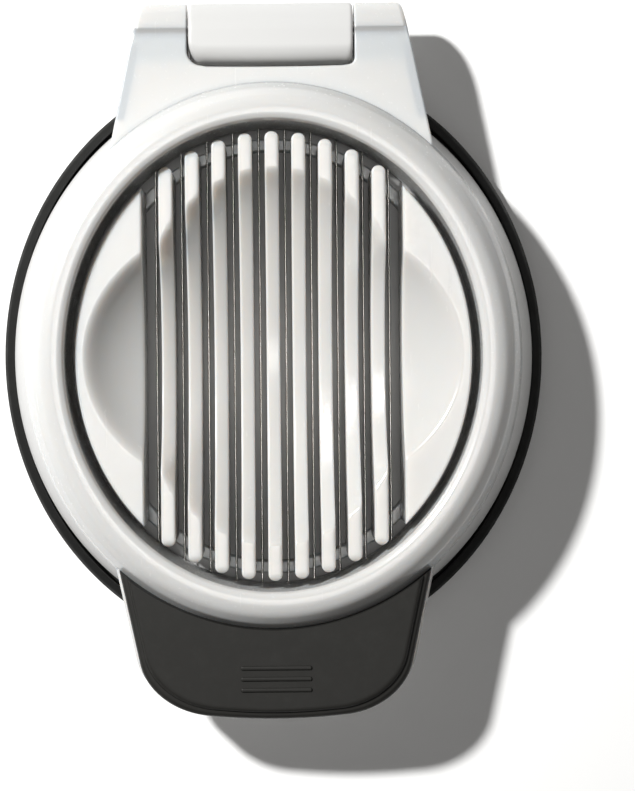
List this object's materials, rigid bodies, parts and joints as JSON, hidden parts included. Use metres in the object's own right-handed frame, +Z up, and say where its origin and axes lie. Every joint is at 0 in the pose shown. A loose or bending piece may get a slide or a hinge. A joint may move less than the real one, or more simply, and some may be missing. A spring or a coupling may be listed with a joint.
{
  "type": "egg slicer",
  "caption": "Oval wire egg slicer with a slatted egg cradle, a hinged wire frame, a soft grip handle and a rubber base ring.",
  "frame": {"origin": "centre of the footprint's bounding box, on the surface the slicer stands on", "axes": "+X to the right seen from the handle, +Y from the handle towards the hinge, +Z up"},
  "size_m": [0.1332, 0.1718, 0.033],
  "materials": {
    "white_plastic": "moulded gloss",
    "black_rubber": "matt soft rubber",
    "soft_grip": "fine satin soft-touch",
    "steel_wire": "drawn, bright",
    "steel": "zinc-bright"
  },
  "bodies": {
    "base": {"base_housing": "white_plastic", "egg_cradle": "white_plastic", "non_slip_ring": "black_rubber", "hinge_block": "white_plastic", "hinge_pin": "steel", "cradle_screws": "steel", "hinge_screws": "steel"},
    "cutting_frame": {"frame_ring": "white_plastic", "wire_retaining_ring": "white_plastic", "cutting_wire_01": "steel_wire", "cutting_wire_02": "steel_wire", "cutting_wire_03": "steel_wire", "cutting_wire_04": "steel_wire", "cutting_wire_05": "steel_wire", "cutting_wire_06": "steel_wire", "cutting_wire_07": "steel_wire", "cutting_wire_08": "steel_wire", "cutting_wire_09": "steel_wire", "cutting_wire_10": "steel_wire", "wire_crimps_front": "steel", "wire_crimps_rear": "steel", "retainer_screws": "steel", "handle_grip": "soft_grip"}
  },
  "joints": [
    {"name": "lid_hinge", "type": "hinge", "parent": "base", "child": "cutting_frame", "pos_m": [0, 0.0779, 0.0164], "axis": [-1, 0, 0], "range_deg": [0, 100]}
  ]
}
